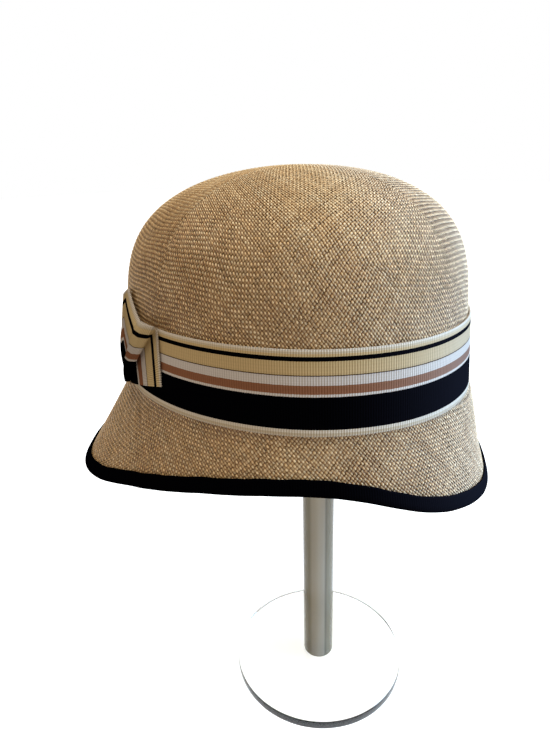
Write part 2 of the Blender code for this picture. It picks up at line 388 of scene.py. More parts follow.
class Nodes:
    """Builds one material's node tree."""

    def __init__(self, name):
        self.material = bpy.data.materials.new(name)
        self.material.use_nodes = True
        self.tree = self.material.node_tree
        self.shader = self.tree.nodes["Principled BSDF"]

    def put(self, socket, value):
        if isinstance(value, bpy.types.NodeSocket):
            self.tree.links.new(value, socket)
        else:
            socket.default_value = value

    def fill(self, node, inputs):
        for name, value in inputs.items():
            self.put(node.inputs[name], value)
        return node

    def surface(self, inputs):
        """Fills the shader's inputs and gives the material."""
        self.fill(self.shader, inputs)
        return self.material

    def add(self, kind, *values, **settings):
        """A node with these settings, and these values in its first inputs."""
        node = self.tree.nodes.new("ShaderNode" + kind)
        for key, setting in settings.items():
            setattr(node, key, setting)
        for socket, value in zip(node.inputs, values):
            self.put(socket, value)
        return node

    def value(self, name):
        return self.add("Attribute", attribute_name=name).outputs["Fac"]

    def math(self, operation, *values):
        return self.add("Math", *values, operation=operation).outputs[0]

    def product(self, first, second):
        return self.math("MULTIPLY", first, second)

    def line(self, value, slope, start):
        return self.math("MULTIPLY_ADD", value, slope, start)

    def vector(self, x=0.0, y=0.0, z=0.0):
        return self.add("CombineXYZ", x, y, z).outputs[0]

    def grey(self, value):
        return self.vector(value, value, value)

    def ramp(self, factor, stops, interpolation="LINEAR"):
        node = self.add("ValToRGB", factor)
        ramp = node.color_ramp
        ramp.interpolation = interpolation
        while len(ramp.elements) < len(stops):
            ramp.elements.new(0.5)
        for element, (place, colour) in zip(ramp.elements, stops):
            element.position = place
            element.color = (*colour, 1)
        return node.outputs["Color"]

    def mix(self, factor, first, second, blend="MIX"):
        node = self.add("Mix", data_type="RGBA", blend_type=blend)
        for index, value in ((0, factor), (6, first), (7, second)):
            self.put(node.inputs[index], value)
        return node.outputs[2]

    def tinted(self, colour, tint):
        return self.mix(1.0, colour, tint, "MULTIPLY")

    def noise(self, scale, detail, vector=None):
        if vector is None:
            vector = self.add("TexCoord").outputs["Object"]
        node = self.fill(self.add("TexNoise"), {"Scale": scale, "Detail": detail, "Vector": vector})
        return node.outputs["Fac"]

    def random(self, value):
        return self.fill(self.add("TexWhiteNoise", noise_dimensions="1D"), {"W": value}).outputs["Value"]

    def bump(self, height, distance, strength):
        inputs = {"Distance": distance, "Strength": strength, "Height": height}
        return self.fill(self.add("Bump"), inputs).outputs["Normal"]


def srgb(red, green, blue):
    """Linear colour of one given as a screen shows it, from 0 to 255."""
    shares = (value / 255 for value in (red, green, blue))
    return tuple(((share + 0.055) / 1.055) ** 2.4 if share > 0.04 else share / 12.92 for share in shares)


UNTINTED = (1, 1, 1)
# Painted shade: the dark brown of the gaps, where strands dip under others and towards their sides
GAP = srgb(86, 58, 34)
STRAW_SHADES = [(0.32, srgb(200, 160, 104)), (0.6, srgb(236, 204, 150)), (0.9, srgb(252, 234, 194))]
FIBRE_SHARE, STRAND_SHARE, BLOTCH_SHARE = 0.55, 0.3, 0.35
FIBRES_ACROSS = 3.0
# Tints by a strand's height: painted shade in the crevices of the weave, on its outer and its inner face
CREVICE_SHADE = [(0.16, GAP), (0.45, srgb(196, 171, 140)), (0.85, UNTINTED)]
INSIDE_CREVICE_SHADE = [(0.05, GAP), (0.5, UNTINTED)]
# Painted shade: the tint of strands that catch less of the light
SHADED_STRANDS = srgb(164, 140, 110)
# Each stretch of a strand between crossings is darker by chance, and a number tells stretches apart
CELL_STEP = 17.31
INSIDE_KIND_STEP = 500.0
CELL_SPREAD, CELL_LEAST = 0.4, 0.73
# Painted shade between the rows on the lit side, where each row of humps shades the next: how narrow, and
# how deep in red, green and blue
ROW_SHADE_POWER = 1.5
ROW_SHADE_DEPTHS = (0.42, 0.48, 0.56)
# How much a strand's sides fall away and take painted shade: climbing, falling, and more on the lit side
EDGINGS = (0.45, 0.8)
LIT_SIDE_EDGING = 0.3
# Painted light on the lit side: how much the straw there loses saturation and gains value, and how much the
# ribbons lose saturation
STRAW_LIT_PALING, STRAW_LIT_LIFT = 0.25, 0.14
RIBBON_LIT_PALING = 0.36

CREAM = srgb(212, 186, 138)
BOW_CREAM = srgb(222, 198, 150)
PALE = srgb(230, 220, 204)
DULL = srgb(216, 200, 172)
WHITE = srgb(220, 212, 206)
RUST = srgb(152, 104, 77)
BLACK = srgb(4, 4, 7)
LINE = srgb(70, 52, 44)
# Painted sheen, added to the ribbons on the lit side
LIT_SIDE_SHEEN = srgb(17, 18, 26)
STRIPES = (
    # share of the width from the top edge at which each stripe starts, and its colour
    (0.0, PALE),
    (0.018, DULL),
    (0.042, CREAM),
    (0.072, BLACK),
    (0.123, CREAM),
    (0.278, LINE),
    (0.292, WHITE),
    (0.395, RUST),
    (0.497, WHITE),
    (0.53, BLACK),
    (0.915, PALE),
    (0.955, DULL),
    (0.982, PALE),
)
BOW_STRIPES = (
    # share of the width from rim to heart, and colour
    (0.0, PALE),
    (0.012, DULL),
    (0.03, BOW_CREAM),
    (0.085, BLACK),
    (0.135, BOW_CREAM),
    (0.282, LINE),
    (0.296, WHITE),
    (0.405, RUST),
    (0.51, WHITE),
    (0.545, BLACK),
)
BINDING_STRIPES = ((0.0, BLACK), (0.99, BLACK))
# Threads across a ribbon's width, how far a stripe's border strays, and the painted shade in the grooves
# between the ribs
THREADS = 150.0
STRAY = 0.006
THREAD_SPREAD = 0.12
GROOVE_SHADE_TINT = (1.0, 0.97, 0.94)
GROOVE_SHADE_END = 0.4
POST_REFRACTION_STRIPS = (
    # painted refraction of the room through the clear rod: share of the turn from the back at which each
    # strip has its colour
    (0.0, srgb(126, 118, 94)),
    (0.09, srgb(134, 126, 100)),
    (0.15, srgb(142, 135, 110)),
    (0.18, srgb(188, 183, 170)),
    (0.25, srgb(204, 199, 186)),
    (0.305, srgb(192, 186, 173)),
    (0.325, srgb(122, 117, 104)),
    (0.345, srgb(144, 136, 116)),
    (0.42, srgb(128, 119, 97)),
    (0.5, srgb(118, 108, 86)),
    (1.0, srgb(126, 118, 94)),
)
# Azimuth at which the rod's painted refraction strips start, and at which each turned piece begins its turn
STRIPS_AZIMUTH = 228.0


def straw_colour(nodes, strand, along, across):
    """Straw of each strand's own shade, with fine fibres along it and blotches over the hood."""
    place = nodes.vector(along, nodes.product(across, FIBRES_ACROSS), strand)
    fibres = nodes.noise(scale=1.0, detail=3.0, vector=place)
    tone = nodes.line(fibres, FIBRE_SHARE, nodes.product(nodes.random(strand), STRAND_SHARE))
    tone = nodes.line(nodes.noise(scale=60.0, detail=4.0), BLOTCH_SHARE, tone)
    return nodes.ramp(tone, STRAW_SHADES), fibres


def strand_bead(nodes, along, across):
    """Height of a strand's surface, from zero where it dips under another to one on top."""
    wave = nodes.math("SINE", nodes.product(along, math.pi))
    rise = nodes.line(nodes.product(wave, nodes.value("swing")), 0.5, 0.5)
    square = nodes.math("POWER", nodes.math("ABSOLUTE", across), 2.0)
    return nodes.product(rise, nodes.math("SUBTRACT", 1.0, nodes.product(square, nodes.value("edging"))))


def row_shade(nodes):
    """Painted shade: a tint that darkens between the rows on the lit side of the hat."""
    between = nodes.math("COSINE", nodes.product(nodes.value("row"), 2 * math.pi))
    between = nodes.math("POWER", nodes.line(between, -0.5, 0.5), ROW_SHADE_POWER)
    between = nodes.product(between, nodes.value("pale"))
    return nodes.vector(*(nodes.line(between, -depth, 1.0) for depth in ROW_SHADE_DEPTHS))


def lit_side_paling(nodes, colour, loss, lift=0.0):
    """Painted light: the colour, paler and less saturated on the side of the hat that faces the window
    light, where its pale value is high.
    """
    saturation = nodes.line(nodes.value("pale"), -loss, 1.0)
    value = nodes.line(nodes.value("pale"), lift, 1.0)
    inputs = {"Saturation": saturation, "Value": value, "Color": colour}
    return nodes.fill(nodes.add("HueSaturation"), inputs).outputs["Color"]


def strand_material():
    nodes = Nodes("woven_straw")
    strand, along, across = (nodes.value(name) for name in ("strand", "along", "across"))
    colour, fibres = straw_colour(nodes, strand, along, across)
    bead = strand_bead(nodes, along, across)
    # Painted shade: darker where a strand dips under another and towards its sides
    colour = nodes.tinted(colour, nodes.ramp(bead, CREVICE_SHADE))
    cell = nodes.line(strand, CELL_STEP, nodes.math("FLOOR", along))
    colour = nodes.tinted(colour, nodes.grey(nodes.line(nodes.random(cell), CELL_SPREAD, CELL_LEAST)))
    # Painted light: strands that catch less light take the shaded tint, and painted shade falls between the
    # rows on the lit side
    lower = nodes.tinted(colour, (*SHADED_STRANDS, 1))
    colour = nodes.tinted(nodes.mix(nodes.value("bright"), lower, colour), row_shade(nodes))
    return nodes.surface({
        # On the lit side the straw is painted paler and brighter
        "Base Color": lit_side_paling(nodes, colour, STRAW_LIT_PALING, STRAW_LIT_LIFT),
        "Roughness": nodes.line(fibres, slope=0.25, start=0.34),
        "Normal": nodes.bump(nodes.line(fibres, slope=0.25, start=bead), distance=0.0004, strength=0.7),
        "Specular IOR Level": 0.5,
    })


def lining_material():
    """Inner face of the same weave, drawn in the lattice of the strands, with painted shade in its gaps."""
    nodes = Nodes("straw_inside")
    first, second = nodes.value("first"), nodes.value("second")
    cell_1, cell_2 = nodes.math("FLOOR", first), nodes.math("FLOOR", second)
    part_1, part_2 = nodes.math("FRACT", first), nodes.math("FRACT", second)
    over = nodes.math("PINGPONG", nodes.math("ADD", cell_1, cell_2), 1.0)

    def hump(part):
        return nodes.math("SINE", nodes.product(part, math.pi))

    def choose(one, other):
        return nodes.line(other, nodes.math("SUBTRACT", 1.0, over), nodes.product(one, over))

    across = choose(part_1, part_2)
    strand = choose(cell_1, nodes.math("ADD", cell_2, INSIDE_KIND_STEP))
    height = nodes.product(hump(across), nodes.line(hump(choose(part_2, part_1)), slope=0.6, start=0.4))
    colour, _ = straw_colour(nodes, strand, choose(second, first), across)
    return nodes.surface({
        # Painted shade in the gaps between the strands
        "Base Color": nodes.tinted(colour, nodes.ramp(height, INSIDE_CREVICE_SHADE)),
        "Roughness": 0.55,
        "Normal": nodes.bump(height, distance=0.0004, strength=0.9),
    })


def ribbon_material(name, stripes, rib, groove_shade):
    """Ribbed ribbon: threads across its ribs, with the stripes in the warp, painted shade in the grooves
    between the ribs, and a painted sheen and paler colour on the lit side.
    """
    nodes = Nodes(name)
    across, along = nodes.value("across"), nodes.value("along")
    stray = nodes.noise(scale=1.0, detail=2.0, vector=nodes.vector(nodes.math("FLOOR", along), across))
    place = nodes.line(stray, STRAY, nodes.math("SUBTRACT", across, STRAY / 2))
    colour = nodes.ramp(place, stripes, "CONSTANT")
    ribs = nodes.math("SINE", nodes.product(along, 2 * math.pi))
    # Painted shade in the grooves between the ribs
    valleys = [(0.0, tuple(groove_shade * tint for tint in GROOVE_SHADE_TINT)), (GROOVE_SHADE_END, UNTINTED)]
    colour = nodes.tinted(colour, nodes.ramp(nodes.line(ribs, 0.5, 0.5), valleys))
    thread = nodes.random(nodes.math("FLOOR", nodes.product(across, THREADS)))
    colour = nodes.tinted(colour, nodes.grey(nodes.line(thread, THREAD_SPREAD, 1 - THREAD_SPREAD)))
    fine = nodes.math("SINE", nodes.product(across, THREADS * math.pi))
    relief = nodes.line(fine, slope=0.3, start=nodes.product(ribs, rib))
    return nodes.surface({
        # Painted light: the ribbon is painted paler on the lit side, with a painted sheen added there
        "Base Color": nodes.mix(
            nodes.value("pale"), lit_side_paling(nodes, colour, RIBBON_LIT_PALING), (*LIT_SIDE_SHEEN, 1), "ADD"
        ),
        "Roughness": 0.75,
        "Specular IOR Level": 0.0,
        "Normal": nodes.bump(relief, distance=0.00008, strength=0.6),
    })


def plate_material():
    nodes = Nodes("clear_acrylic_fine")
    return nodes.surface({
        "Base Color": (*srgb(246, 246, 242), 1),
        "Transmission Weight": 1.0,
        "IOR": 1.49,
        "Roughness": nodes.line(nodes.noise(scale=260.0, detail=4.0), slope=0.05, start=0.01),
        "Normal": nodes.bump(nodes.noise(scale=30.0, detail=1.0), distance=0.0002, strength=0.25),
    })


def post_material():
    """Clear rod with a painted refraction: the room seen through it, as soft strips of colour down its
    length.
    """
    nodes = Nodes("clear_acrylic_rod")
    strips = nodes.ramp(nodes.value("across"), POST_REFRACTION_STRIPS)
    drift = nodes.noise(scale=14.0, detail=2.0)
    return nodes.surface({
        "Base Color": nodes.tinted(strips, nodes.grey(nodes.line(drift, slope=0.3, start=0.82))),
        "Transmission Weight": 0.35,
        "IOR": 1.3,
        "Roughness": nodes.line(nodes.noise(scale=300.0, detail=3.0), slope=0.1, start=0.06),
        "Normal": nodes.bump(drift, distance=0.0003, strength=0.3),
    })


# Woven straw

def lit_side_turn(azimuth):
    return (np.degrees(azimuth) - LIT_SIDE_AZIMUTH) % 360


def lit_side_share(azimuth):
    """One on the side of the hat that faces the window light, where light is painted into the colours, zero
    on the others.
    """
    turn = lit_side_turn(azimuth)
    return smoothstep(*LIT_SIDE_RISE, turn) * (1 - smoothstep(*LIT_SIDE_FALL, turn))


def strand_light(azimuth, down, family):
    """Painted light: how brightly a strand catches the light, from the painted shade of the strands that
    lie lower, at zero, to its full colour, at one; more at the tip and on the brim, less on part of the
    brim.
    """
    turn = lit_side_turn(azimuth)
    shade_share = smoothstep(*BRIM_SHADE_RISE, turn) * (1 - smoothstep(*BRIM_SHADE_FALL, turn))
    tip = TIP_LIFT * (1 - smoothstep(*TIP_LIFT_ROWS, down / ROW))
    brim = (BRIM_LIFT - BRIM_SHADING * shade_share) * smoothstep(FOOT, FOOT + BRIM_LIFT_REACH, down)
    return round_table(TWIST, azimuth)[2 + family] + tip + brim


def sector_azimuth(sector, share):
    """Azimuth of a share of a sector's width, from -1 to 1."""
    low, high = (arc_at(np.radians(FIRST_AZIMUTH + 90 * sector + side)) for side in (-45, 45))
    return azimuth_at((low + high) / 2 + np.clip(share, -1, 1) * (high - low) / 2)


def settle(sector, first, second):
    """Places on the hood of points of the strand lattice: azimuth, distance down, share of the sector."""
    column, row = (first + second) / 2, np.clip((first - second) / 2, TIP_ROW, None)
    wave = sum(
        depth * np.sin(column * by_column + row * by_row + sector * by_sector)
        for depth, by_column, by_row, by_sector in ROW_WAVES
    )
    row = row + wave * smoothstep(*ROW_WAVE_START, row)
    half_width = np.clip(row, None, CORNER_ROWS)
    past_corner = np.clip(row - CORNER_ROWS, 0, None)
    share = column / half_width
    for _ in range(SETTLE_ROUNDS):
        lean = round_table(TWIST, sector_azimuth(sector, share))[1]
        share = (column + lean * past_corner) / half_width
    azimuth = sector_azimuth(sector, share)
    fall = round_table(TWIST, azimuth)[0]
    return azimuth, row * (1 + fall) * ROW, share


def lattice_numbers(half, low, high):
    """Numbers of the climbing and of the falling strands in half a sector, between two rows."""
    widest = CORNER_ROWS + SPARE_COLUMNS
    left, right = (-OVERLAP_COLUMNS, widest) if half else (-widest, OVERLAP_COLUMNS)
    climbing = np.arange(left + int(low) - MARGIN, right + int(high) + MARGIN)
    falling = np.arange(left - int(high) - MARGIN, right - int(low) + MARGIN)
    return climbing, falling


def strand_sides(sector, family, own, mine, along, edge):
    """Where each point lies across the strands, which sway and vary in breadth."""
    chance = np.random.default_rng(10 * sector + family)
    phases = chance.uniform(0, TURN, (len(STRAND_WAVES), len(own)))[:, :, None, None]
    waves = [
        depth * np.sin(along * pitch + phase) for (depth, pitch), phase in zip(STRAND_WAVES, phases)
    ]
    sway = waves[0] + waves[1]
    breadth = 1 + waves[2] + waves[3]
    return mine + sway + edge * breadth * FAMILIES[family][0] / 2


def corners(values):
    """Values at the four corners of each quad of a grid of strands."""
    return np.stack([values[:, :-1, :-1], values[:, 1:, :-1], values[:, 1:, 1:], values[:, :-1, 1:]], -1)


def quads_within(half, low, high, column, azimuth, down, share):
    """Quads of a grid of strands that lie in half a sector, between two rows and on the brim."""
    in_sector = corners(np.abs(share) <= 1).any(-1)
    in_half = (corners(column).mean(-1) > 0) == bool(half)
    in_rows = ((corners(down) > low * ROW) & (corners(down) < high * ROW)).all(-1)
    length, _ = brim_section(azimuth)
    on_brim = (corners(down - FOOT - length) < STRAND_OVERHANG).all(-1)
    quads = corners(np.arange(share.size).reshape(share.shape))
    return quads[in_sector & in_half & in_rows & on_brim]


def strands(sector, half, low, high, family):
    """One family of strands in half a sector, between two rows: points, quads, values and UVs."""
    _, rise_height, roundness = FAMILIES[family]
    numbers = lattice_numbers(half, low, high)
    own, other = numbers[family], numbers[1 - family]
    samples = (other[:, None] + 0.5 + np.array([-PLATEAU, PLATEAU])).ravel()
    mine, along, edge = np.meshgrid(own + 0.5, samples, [-1.0, 0.0, 1.0], indexing="ij")
    sides = strand_sides(sector, family, own, mine, along, edge)
    first, second = (along, sides) if family else (sides, along)
    azimuth, down, share = settle(sector, first, second)
    number = np.floor(mine) + family
    over = (number + np.floor(along)) % 2 != 0
    rise = np.where(over, 1.0, -1.0) * np.where(np.abs(share) > 1, END_RISE, 1.0)
    off = rise * rise_height - np.abs(edge) * roundness - WEAVE_DEPTH
    swing = np.where(number % 2 == 1, 1.0, -1.0)
    quads = quads_within(half, low, high, (first + second) / 2, azimuth, down, share)
    used, inverse = np.unique(quads if family else quads[:, ::-1], return_inverse=True)
    grids = (azimuth, down, off, swing, along, edge, mine, (first - second) / 2)
    azimuth, down, off, swing, along, edge, mine, row = (grid.ravel()[used] for grid in grids)
    # How far the point lies on the lit side, where light is painted into the straw's colour
    pale = lit_side_share(azimuth)
    values = {
        # A strand keeps its number where it goes on as one of the other family in the next sector
        "strand": STRAND_SIGNS[family][sector] * mine + KIND_STEP * ((family + sector) % 2),
        "along": along,
        "across": edge,
        "swing": swing,
        # Painted light: how brightly the strand catches the light, how far it lies on the lit side, and how
        # much painted shade its sides take
        "bright": strand_light(azimuth, down, family),
        "pale": pale,
        "edging": EDGINGS[family] + LIT_SIDE_EDGING * pale,
        "row": row,
    }
    lane = (np.floor(mine) - own[0] + 0.5 + LANE_HALF * edge) / len(own)
    run = (along - samples[0]) / (samples[-1] - samples[0])
    points = hood(azimuth, np.clip(down, STRAND_TIP, None), off)
    return points, inverse.reshape(-1, 4), values, np.stack([run, lane], -1)


def weave_piece(name, sectors, low, high, material):
    """All the strands of these sectors between two rows, as one piece."""
    parts = [
        strands(sector, half, low, high, family)
        for sector in sectors for half in (0, 1) for family in (0, 1)
    ]
    points, quads, values, uv = join(parts)
    piece = make_mesh(name, points, quads, material, values, uv)
    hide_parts("crown_and_brim")


def build_weave(material):
    band_top, foot = down_at(RIBBON_WIDTH) / ROW, FOOT / ROW
    for sector, name in enumerate(CROWN_NAMES):
        weave_piece(f"crown_straw_{name}", (sector,), 0.0, band_top + UNDER_BAND, material)
    for name, sectors in BRIM_NAMES:
        weave_piece(f"brim_straw_{name}", sectors, foot - OVER_FOOT, foot + MOST_BRIM_ROWS, material)


def lining_sector(sector):
    """Outer and inner face of the lining in one sector, as parts to join."""
    shares = np.linspace(-1, 1, LINING_COLUMNS)
    azimuth = sector_azimuth(sector, shares)
    length, _ = brim_section(azimuth)
    dome_rows = np.linspace(LINING_TIP_ROW, CORNER_ROWS, DOME_ROWS)
    side_rows = np.linspace(CORNER_ROWS, FOOT / ROW, SIDE_ROWS + 1)[1:]
    crown = np.repeat(np.concatenate([dome_rows, side_rows])[:, None] * ROW, LINING_COLUMNS, 1)
    brim = FOOT + (length + LINING_OVERHANG) * np.linspace(0, 1, BRIM_ROWS + 1)[1:, None]
    down = np.concatenate([crown, brim])
    angle = np.broadcast_to(azimuth, down.shape)
    fall, lean = round_table(TWIST, angle)[:2]
    row = down / ROW / (1 + fall)
    column = shares * np.clip(row, None, CORNER_ROWS) - lean * np.clip(row - CORNER_ROWS, 0, None)
    values = {"first": (column + row).ravel(), "second": (column - row).ravel()}
    values["pale"] = lit_side_share(angle).ravel()
    uv = np.stack(grid_places(len(down), LINING_COLUMNS, LINING_COLUMNS - 1), -1).reshape(-1, 2)
    quads = grid_quads(len(down), LINING_COLUMNS)
    outer = hood(angle, down, -LINING_DEPTH).reshape(-1, 3)
    inner = hood(angle, down, -STRAW_THICKNESS).reshape(-1, 3)
    return [(outer, quads, values, uv), (inner, quads[:, ::-1], values, uv)]


def build_lining(material):
    """Body of the weave under its strands: what shows from inside and between them."""
    parts = [part for sector in range(4) for part in lining_sector(sector)]
    points, quads, values, uv = join(parts)
    piece = make_mesh("straw_inside", points, quads, material, values, uv)
    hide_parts("crown_and_brim")


# Ribbons

RIB = 0.00115
RIB_COLUMNS = 4
# Shares of the width at which the band has points, closer together at its edges
BAND_SHARES = np.concatenate([[0.0, 0.012], np.linspace(0.03, 0.97, 25), [0.988, 1.0]])
LOOP = 0.0003
EDGE_SOFTNESS = 0.012
BAND_RELIEF = 0.00009
BAND_INSET = 0.0001
BAND_DIP, DIP_SOFTNESS = 0.0002, 0.02
BAND_PULLS = (
    # waves a turn, phase, depth
    (5, 1.0, 0.000072),
    (11, 0.0, 0.00004),
)
BINDING_RIBS = 560
BINDING_COLUMNS = 3
BINDING_RELIEF = 0.00006
BINDING_RIPPLES = (
    # waves a turn, phase, depth
    (23, 0.0, 0.00012),
    (41, 2.0, 0.0001),
)
# The ripples are full down to a reach under the upper edge, and lower beyond it
RIPPLE_REACH = 0.001
LOWER_RIPPLE = 0.3
FOLD_DROP, FOLD_START = 0.003, 0.001
BINDING_EDGE = (
    # distance down from the upper edge, and in from the face, of the points that round it
    (0.0, 0.00055),
    (0.0002, 0.0002),
    (0.0006, 0.0),
)
REAR_EDGE = 0.0002


def rib_wave(columns, rib_columns):
    return np.cos(np.arange(columns) * TURN / rib_columns)


def turn_waves(waves, azimuth):
    return sum(depth * np.sin(azimuth * count + phase) for count, phase, depth in waves)


def cloth_point(azimuth, height, proud):
    """Point proud of the crown's side, which is drawn on straight down below the band's foot."""
    point = crown_point(azimuth, np.clip(height, 0, None), proud)
    point[..., 2] += np.clip(height, None, 0)
    return point


def build_band(material):
    """Ribbed ribbon with a looped edge along its top and its foot."""
    ribs = int(GIRTH / RIB)
    columns = ribs * RIB_COLUMNS
    azimuth = even_azimuths(columns)
    wave = rib_wave(columns, RIB_COLUMNS)
    loops = LOOP * (0.5 + 0.5 * wave)
    pull = turn_waves(BAND_PULLS, azimuth)
    rings = []
    for share in BAND_SHARES:
        edge = loops * (math.exp(-share / EDGE_SOFTNESS) - math.exp(-(1 - share) / EDGE_SOFTNESS))
        dip = BAND_DIP * (math.exp(-share / DIP_SOFTNESS) + math.exp(-(1 - share) / DIP_SOFTNESS))
        proud = CLOTH_GAP + RIBBON_THICKNESS - BAND_INSET + BAND_RELIEF * wave - dip
        rings.append(cloth_point(azimuth, RIBBON_WIDTH * (1 - share) + edge + pull, proud))
    for share in (1.0, 0.0):
        rings.append(cloth_point(azimuth, np.full(columns, RIBBON_WIDTH * (1 - share)), CLOTH_GAP))
    points = np.stack(rings + rings[:1])
    across = np.repeat(np.concatenate([BAND_SHARES, [1.0, 0.0, 0.0]])[:, None], columns, 1)
    quads = grid_quads(len(points), columns, closed=True)
    along, place = grid_places(len(points), columns, RIB_COLUMNS)
    uv = np.stack([along / ribs, place], -1)
    # How far each place lies on the lit side, where the ribbon is painted paler and takes a painted sheen
    pale = np.broadcast_to(lit_side_share(azimuth), along.shape)
    values = [("across", across), ("along", along), ("pale", pale)]
    points, uv = points.reshape(-1, 3), uv.reshape(-1, 2)
    piece = make_mesh("striped_band", points, quads, material, values, uv)
    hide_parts("band_ribbon")


def binding_outline():
    """Section of the folded ribbon: distance past the straw's edge and off it, and depth of the ribs."""
    outside = CLOTH_GAP + RIBBON_THICKNESS
    top = outside - BINDING_HEIGHT
    back = -STRAW_THICKNESS
    reach = (2 * outside - back) / 2
    edge = [(top + down, outside - inset) for down, inset in BINDING_EDGE]
    face = [(top * (1 - share), outside) for share in np.linspace(0.15, 0.8, 6)]
    fold = [
        (-FOLD_START + FOLD_DROP * np.sin(angle), back / 2 + reach * np.cos(angle))
        for angle in np.linspace(0, np.pi, 9)
    ]
    rear = [(top * share, back - outside) for share in np.linspace(0.3, 0.9, 5)]
    inside = [(top, back - outside + REAR_EDGE), (top, back - CLOTH_GAP), (-CLOTH_GAP, back - CLOTH_GAP)]
    inside += [(CLOTH_GAP, back / 2), (-CLOTH_GAP, CLOTH_GAP), (top, CLOTH_GAP), edge[0]]
    sections = ((edge, 0.0), (face + fold + rear[:-1], BINDING_RELIEF), (rear[-1:] + inside, 0.0))
    return [(*point, relief) for section, relief in sections for point in section]


def build_binding(material):
    """Ribbed black ribbon folded over the cut edge of the straw."""
    columns = BINDING_RIBS * BINDING_COLUMNS
    azimuth = even_azimuths(columns)
    length, flare = brim_section(azimuth)
    hidden = BINDING_HEIGHT - RIBBON_THICKNESS - CLOTH_GAP
    edge = brim_point(azimuth, length + hidden)
    outwards = np.stack([np.sin(azimuth), -np.cos(azimuth), 0 * azimuth], -1)
    upwards = np.array([0, 0, 1.0])
    down = outwards * np.sin(flare)[:, None] - upwards * np.cos(flare)[:, None]
    off = outwards * np.cos(flare)[:, None] + upwards * np.sin(flare)[:, None]
    wave = rib_wave(columns, BINDING_COLUMNS)
    ripple = turn_waves(BINDING_RIPPLES, azimuth)
    outline = binding_outline()
    upper_end = outline[0][0] + RIPPLE_REACH
    rings = []
    for along, out, relief in outline:
        lift = ripple if along < upper_end else ripple * LOWER_RIPPLE
        rings.append(edge + down * (along + lift)[:, None] + off * (out + wave * relief)[:, None])
    points = np.stack(rings)
    quads = grid_quads(len(points), columns, closed=True)
    along, across = grid_places(len(points), columns, BINDING_COLUMNS)
    uv = np.stack([along / BINDING_RIBS, across], -1)
    # How far each place lies on the lit side, where the ribbon is painted paler and takes a painted sheen
    pale = np.broadcast_to(lit_side_share(azimuth), along.shape)
    values = [("across", across), ("along", along), ("pale", pale)]
    points, uv = points.reshape(-1, 3), uv.reshape(-1, 2)
    piece = make_mesh("black_binding", points, quads, material, values, uv)
    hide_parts("edge_binding")


# Bow: each fold line runs from its place on the rim to its place on the heart. Places along and up are
# in ribbon widths, and rises, the lip that stands up at the rim and the tuck behind it in pleat rises.
BOW_FOLDS = (
    # fold, rim along, rim up, rim rise, heart along, heart up, heart rise, lip, tuck
    ("tail_end", 1.325, 0.266, 0.12, 0.17, -0.03, 0.06, 0.0, 0.0),
    ("tail_fold", 1.285, 1.0, 0.08, 0.10, -0.03, 0.06, 0.0, 0.0),
    ("pleat_front", 1.37, 1.01, 0.72, 0.42, 0.06, 0.42, 0.05, 0.05),
    ("pleat_middle", 1.20, 1.00, 0.93, 0.26, 0.01, 0.55, 0.06, 0.15),
    ("pleat_back", 0.95, 1.0, 0.76, 0.09, -0.03, 0.42, 0.03, 0.34),
    ("side_fold", 0.80, 1.0, 0.55, 0.05, -0.03, 0.04, 0.0, 0.50),
    ("top_fold", 0.313, 1.325, 0.20, 0.02, -0.03, 0.03, 0.0, 0.16),
    ("top_middle", 0.00, 1.19, 0.12, 0.0, -0.03, 0.03, 0.0, 0.0),
)
FOLD_VALUES = 8
# The rear half mirrors the front one, lower and flatter
REAR_UP = 0.84
REAR_RISE = 0.5
FOLD_SOFTNESS = 0.0012
FOLD_STEPS = 12
LIP_DEPTH = 0.08
# The ribbon bellies between rim and heart, most near the middle of the bow
BELLY = 0.0016
LEAST_BELLY = 0.0003
BELLY_REACH = 0.8
BELLY_SKEW = 1.3
BOW_THICKNESS = 0.0006
BOW_RELIEF = 0.00007
BOW_GAP = 0.0001
BOW_CLEAR = CLOTH_GAP + RIBBON_THICKNESS + BOW_GAP
BOW_SHARES = np.concatenate([[0, 0.012], np.linspace(0.03, 0.97, 23), [1.0]])
HEART_SHARE = 0.9


def softened(path):
    """The path with its corners rounded by a moving mean, and its ends in place."""
    before = 2 * path[0] - path[FOLD_STEPS:0:-1]
    after = 2 * path[-1] - path[-2:-2 - FOLD_STEPS:-1]
    padded = np.concatenate([before, path, after])
    window = np.ones(2 * FOLD_STEPS + 1) / (2 * FOLD_STEPS + 1)
    return np.stack([np.convolve(padded[:, k], window, "valid") for k in range(FOLD_VALUES)], -1)


def bow_path():
    """Fold lines along the half rosette, with softened folds, and the distance run along its rim."""
    front = [np.array(row[1:]) for row in BOW_FOLDS]
    mirror = np.array([-1, REAR_UP, REAR_RISE, -1, 1, REAR_RISE, 1, 1])
    lines = np.array(front + [row * mirror for row in front[-2::-1]])
    scale = np.array([RIBBON_WIDTH, RIBBON_WIDTH, PLEAT_RISE])
    run = distances(lines[:, :3] * scale)
    places = np.arange(0, run[-1], FOLD_SOFTNESS / FOLD_STEPS)
    path = np.stack([np.interp(places, run, lines[:, k]) for k in range(FOLD_VALUES)], -1)
    path = softened(softened(path))
    return path, distances(path[:, :3] * scale)


